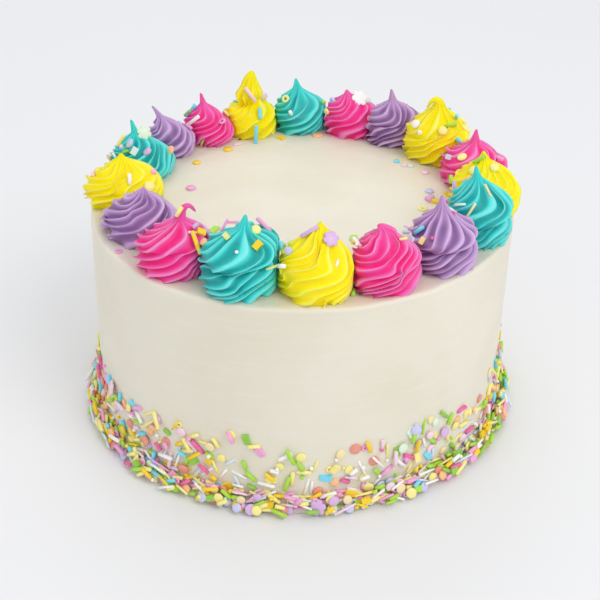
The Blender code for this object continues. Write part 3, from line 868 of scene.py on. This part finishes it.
# Sprinkles caught on the top and in the swirls, by kind, in the order of the names in Caught. x and
# y are places in a 600 by 600 view from the camera, span is a length in that view, turn is degrees
# anticlockwise from level
Caught = namedtuple("Caught", "x y colour turn span")
caught = {
    "rods": [
        (179, 211, "lemon", 57, 12), (196.3, 245.5, "yellow", 107, 27), (195, 225.8, "lilac", 40, 8),
        (205.6, 231.9, "lilac", -60, 12), (262, 227, "pink", -49, 20), (279, 242.6, "ice", -55, 15),
        (287.8, 244.3, "sky", 65, 9), (310.8, 232.4, "lilac", 34, 22), (285, 264.4, "white", -5, 9),
        (362.5, 239.1, "white", -15, 14), (353.3, 294, "green", 80, 11), (419.8, 230, "sky", 36, 13),
        (407.5, 233, "ice", 8, 10), (411, 237.9, "blush", 50, 8), (450.4, 125.8, "green", 10, 12),
        (458, 143.7, "sky", -42, 12), (498.6, 162, "pink", -42, 12), (479.8, 159.3, "green", 35, 15),
        (454.4, 179.8, "green", -75, 9), (458.8, 185.6, "lilac", 88, 10), (452, 189.6, "yellow", 80, 11),
        (428.5, 200.8, "pink", -35, 9), (454.8, 210.2, "white", -37, 11), (250.3, 94.4, "blush", -52, 18),
        (259.2, 114.8, "sky", -80, 13), (255.2, 133.3, "sky", 88, 20), (195.4, 119.3, "white", 37, 17),
        (122, 139, "lemon", 50, 15), (129.4, 179.9, "white", -85, 12),
    ],
    "needles": [
        (191.6, 233.4, "white", -3, 10), (232.4, 222.7, "pink", 2, 15), (228.5, 228, "pink", 22, 19),
        (272.5, 272.4, "lemon", -12, 15), (336.6, 263.4, "white", 70, 9), (403, 239, "lemon", 0, 6),
        (466.4, 178.9, "peach", 28, 9), (460.6, 204.8, "white", 5, 12), (487.9, 190.5, "straw", -62, 14),
        (469.6, 211.1, "straw", 60, 20), (190.5, 107, "sky", 45, 18), (207.6, 145.5, "leaf", 90, 8),
        (238, 145, "blush", 10, 9), (117.6, 153, "white", 70, 7), (110.6, 159.5, "white", 75, 9),
    ],
    "strips": [
        (201, 232.4, "yellow", -35, 9), (213.8, 230.9, "green", 75, 14), (258.2, 245.8, "yellow", 30, 10),
        (226.6, 235, "lemon", 40, 5), (353.9, 239.1, "green", 85, 10), (408, 227, "blush", 30, 5),
        (415.5, 241.4, "ice", 45, 8), (422.2, 240.5, "lemon", -30, 4), (449, 157, "ice", 60, 5),
        (469.5, 140, "ice", 40, 5), (449.8, 196, "yellow", 0, 6), (435.2, 202.1, "yellow", -40, 8),
        (281.1, 138.5, "yellow", -20, 8), (336.6, 100.3, "periwinkle", -20, 6), (181.5, 118, "ice", 50, 6),
        (133.6, 151.2, "ice", 60, 8), (95, 174.8, "blush", -30, 6), (153.6, 172.5, "pink", 20, 4),
        (150, 186.5, "lemon", 10, 8),
    ],
    "dots": [
        (204.6, 242.4, "peach", 70, 8), (149, 187, "lemon", 0, 11), (255.9, 230, "lemon", 70, 10),
        (288.8, 251, "periwinkle", 20, 9), (352, 248, "lemon", 0, 6), (416.4, 124.5, "white", 0, 9),
        (442.3, 131.6, "lemon", 0, 9), (462.6, 158.4, "lemon", 0, 10), (473.6, 170.9, "lemon", 80, 9),
        (493.9, 169.1, "lemon", 0, 9), (429.4, 191.9, "periwinkle", 0, 9), (430.7, 197.7, "lilac", 0, 8),
        (396.8, 162, "sky", 0, 6), (404, 166, "blush", 0, 5), (410.6, 166.4, "ice", 0, 6),
        (425, 173, "blush", 25, 8), (317.6, 135.8, "peach", -30, 11), (329, 110, "lemon", 60, 7),
        (368, 120.3, "peach", 0, 6), (371, 96, "mint", 0, 7), (266, 93, "blush", 60, 8),
        (172.5, 153.5, "peach", 0, 11), (196.7, 163.3, "yellow", -60, 8), (228, 150, "yellow", 0, 9),
        (191, 188.6, "pink", 0, 10), (112.5, 153.1, "peach", 0, 6),
    ],
    "balls": [
        (237.5, 253.3, "white", 0, 4), (355.8, 251.6, "white", 0, 4), (433, 239.2, "rose", 0, 4),
        (420.3, 133, "white", 0, 5), (449.9, 204.8, "rose", 0, 4), (453.5, 213, "rose", 0, 4),
        (325, 106.6, "green", 0, 5), (233, 136.5, "green", 0, 4), (122.7, 146.7, "blush", 0, 5),
    ],
    "flowers": [
        (329.4, 240.1, "lilac", 70, 17), (359, 92.8, "white", 10, 17), (143, 129.5, "mint", -15, 15),
    ],
    "hoops": [
        (422.7, 209.3, "lemon", 0, 10), (287, 99.7, "lemon", 0, 8), (224.1, 124.7, "pink", 0, 8),
        (118.5, 252, "pink", 0, 8),
    ],
}
# in mm: sink is how deep one beds in, lift how far it may be raised onto crests. Shares are of its
# length or width. search: steps in the view, tried in some ways round a place that has no icing
laying = {
    "alongShare": 0.8, "acrossShare": 0.5, "nearShare": 1.7, "nearExtra": 0.8,
    "shares": (-0.9, -0.55, -0.2, 0.2, 0.55, 0.9),
    "shortest": 0.45, "longest": 2.0, "sink": 0.25, "crestSink": 0.4, "lift": 2.4, "lookFrom": 5,
    "topFrom": 60, "search": (2, 4, 6), "ways": 8,
}
behind = {
    "seed": 23, "from": 5, "to": 175, "each": 4, "belowTip": 10.0, "aboveFoot": 4, "away": 60,
    "aimWide": 0.6, "aimHigh": (0.2, 0.7), "around": 50, "above": (0.3, 1.4),
}


def viewRay(x, y):  # from the camera through a place in its view
    across, middle = view["sensor"] / view["lens"] / view["pixels"], view["pixels"] / 2
    way = Vector(((x - middle) * across, (middle - y) * across, -1))
    way = Euler((radians(view["tilt"]), 0, 0)).to_matrix() @ way
    return Vector(view["place"]) * mm, way.normalized()


def firstHit(trees, start, way):  # nearest point in mm, and its normal towards the start
    hits = [tree.ray_cast(start, way) for tree in trees]
    hits = [hit for hit in hits if hit[0] is not None]
    if not hits:
        return None
    point, normal, _, _ = min(hits, key=lambda hit: hit[3])
    return point / mm, normal if normal.dot(way) < 0 else -normal


def surfaceRound(trees, start, way, side, reach):
    # Where the ray meets the icing, the mean direction of the icing there, and both ends beside it
    found = firstHit(trees, start, way)
    if not found:
        return None
    point, normal, ends = found[0], found[1].copy(), []
    across = way.cross(side).normalized()
    most = reach * laying["nearShare"] + laying["nearExtra"]
    for step in (-reach, reach):
        near = firstHit(trees, start + side * step * laying["alongShare"] * mm, way)
        more = firstHit(trees, start + across * step * laying["acrossShare"] * mm, way)
        near, more = (hit if hit and (hit[0] - point).length < most else None for hit in (near, more))
        ends.append(near and near[0])
        for hit in (near, more):
            if hit:
                normal += hit[1]
    return point, normal.normalized(), ends


def liftOver(trees, centre, axis, face, kind, reach):  # how far to rise above the crests under it
    lift = 0.0
    for line in (axis, face.cross(axis)) if "Thickness" in kinds[kind]["sizes"] else (axis,):
        for share in laying["shares"]:
            spot = centre + line * reach * share
            under = firstHit(trees, (spot + face * laying["lookFrom"]) * mm, -face)
            if under:
                over = (under[0] - spot).dot(face)
                lift = max(lift, over + thickness(kind) / 2 - laying["crestSink"])
    return lift


def settle(pile, trees, start, way, side, kind, colour, span):
    # Lays one sprinkle where the ray meets the icing, flat on the mean of the surface round it
    reach = span * 0.5
    met = surfaceRound(trees, start, way, side, reach)
    if not met:
        return
    point, face, ends = met
    along = side
    if all(end is not None for end in ends) and kind in ("rods", "needles", "strips"):
        along = (ends[1] - ends[0]).normalized()
        point = point + face * max(0.0, ((ends[0] + ends[1]) / 2 - point).dot(face))
    axis = (along - face * along.dot(face)).normalized()
    stretch = min(laying["longest"], max(laying["shortest"], span / extent(kind)))
    centre = point + face * (thickness(kind) * 0.5 - laying["sink"])
    centre = centre + face * min(laying["lift"], liftOver(trees, centre, axis, face, kind, reach))
    pile.keep(kind, centre, axis, face, stretch, tintOf(colour))


def layCaught(pile, trees):
    upright = Euler((radians(view["tilt"]), 0, 0)).to_matrix()
    tries = [(0, 0)] + [(step, way) for step in laying["search"] for way in range(laying["ways"])]
    for kind, one in ((kind, Caught(*row)) for kind, rows in caught.items() for row in rows):
        slant = radians(one.turn)
        side = upright @ Vector((cos(slant), sin(slant), 0))
        for step, way in tries:
            aside = 2 * pi * way / laying["ways"]
            start, ray = viewRay(one.x + step * cos(aside), one.y + step * sin(aside))
            found = firstHit(trees, start, ray)
            if found and found[0].z > laying["topFrom"]:
                depth = (found[0] - Vector(view["place"])).length
                span = one.span * depth * view["sensor"] / view["lens"] / view["pixels"]
                settle(pile, trees, start, ray, side, kind, one.colour, span)
                break


def layBehind(pile, trees):
    draw = random.Random(behind["seed"])
    wide = behind["aimWide"]
    for swirl in swirls:
        if not behind["from"] < swirl.azimuth < behind["to"]:
            continue
        centre = swirlCentre(swirl)
        for _ in range(behind["each"]):
            kind, stretch, _ = drawnKind(draw)
            if kind == "needles":
                continue
            x, y = (draw.uniform(-wide, wide) * swirl.radius for _ in range(2))
            aim = centre + Vector((x, y, swirl.height * draw.uniform(*behind["aimHigh"])))
            outside = radians(swirl.azimuth + draw.uniform(-behind["around"], behind["around"]))
            out = Vector((cos(outside), sin(outside), draw.uniform(*behind["above"])))
            start = aim + out * behind["away"]
            way = (aim - start).normalized()
            side = way.cross(Vector([draw.uniform(-1, 1) for _ in range(3)])).normalized()
            found = firstHit(trees, start * mm, way)
            top = swirl.height - behind["belowTip"]
            if not found or not behind["aboveFoot"] < found[0].z - centre.z < top:
                continue
            colour = draw.choice(kinds[kind]["colours"].split())
            settle(pile, trees, start * mm, way, side, kind, colour, extent(kind) * stretch)


# Camera, floor and light

view = {"place": (0.0, -553.5, 390.3), "tilt": 58.525, "lens": 74.47, "sensor": 36.0, "pixels": 600}
# each light: power in W, place and size in metres, and all aim at the height aim above the middle
studio = {
    "floor": linear(238, 239, 242), "floorShade": linear(233, 234, 238), "reach": 3, "world": 0.75,
    "key": (8.4, (0.75, -0.85, 1.3), 1.0), "fill": (1.2, (-1.2, -0.7, 0.9), 1.3),
    "back": (3.0, (-0.2, 1.0, 1.3), 1.2), "aim": 0.08,
}


def addCamera():
    lens = bpy.data.cameras.new("camera")
    lens.lens = view["lens"]
    lens.sensor_width = view["sensor"]
    camera = linked("camera", lens)
    camera.location = [part * mm for part in view["place"]]
    camera.rotation_euler = (radians(view["tilt"]), 0, 0)
    bpy.context.scene.camera = camera


def softLight(name, power, place, size):
    lamp = bpy.data.lights.new(name, "AREA")
    lamp.energy = power
    lamp.size = size
    lamp.shape = "DISK"
    light = linked(name, lamp)
    light.location = place
    aim = Vector((0, 0, studio["aim"])) - Vector(place)
    light.rotation_euler = aim.to_track_quat("-Z", "Y").to_euler()


def floorFinish(sheet):
    shade = ranged(sheet, blotches(sheet, 3), 0.3, 0.7, 0.0, 0.15)
    surfaced(sheet, {
        "Base Color": blended(sheet, shade, studio["floor"], studio["floorShade"]),
        "Roughness": 0.6,
    })


def addStage():
    out = studio["reach"]
    corners = [(-out, -out, 0), (out, -out, 0), (out, out, 0), (-out, out, 0)]
    floor = meshPiece("floor", corners, [(0, 1, 2, 3)], finished("floor_paper", floorFinish))
    world = bpy.data.worlds.new("studio")
    bpy.context.scene.world = world
    world.use_nodes = True
    world.node_tree.nodes["Background"].inputs[0].default_value = (1, 1, 1, 1)
    world.node_tree.nodes["Background"].inputs[1].default_value = studio["world"]
    for name in ("key", "fill", "back"):
        softLight(name, *studio[name])
    bpy.context.scene.view_settings.view_transform = "Standard"


addCamera()
addStage()
print("stage: floor, light and camera set")

creamBody = frostedBody(finished("cream_frosting", creamFinish))
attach(creamBody, "root")
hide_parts("cake")
print("cake: frosted body made,", len(creamBody.data.polygons), "faces")

iced = [creamBody]
icings = {name: finished(name + "_frosting", icingFinish(tints)) for name, tints in icing.items()}
for index, swirl in enumerate(swirls):
    piece = pipedSwirl(index, icings)
    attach(piece, "root")
    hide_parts(f"swirl_{index + 1:02d}_{swirl.colour}")
    iced.append(piece)
    print("swirl", index + 1, len(piece.data.polygons), "faces")

graph = bpy.context.evaluated_depsgraph_get()
trees = [BVHTree.FromObject(piece, graph) for piece in iced]
pile = Pile()
layBand(pile)
layCaught(pile, trees)
layBehind(pile, trees)
sugar = finished("sugar_sprinkles", sugarFinish)
for kind, placed in pile.placed.items():
    piece = sprinklePiece(kind, placed, sugar)
    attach(piece, "root")
    print("sprinkles:", len(placed), kind, len(piece.data.polygons), "faces")
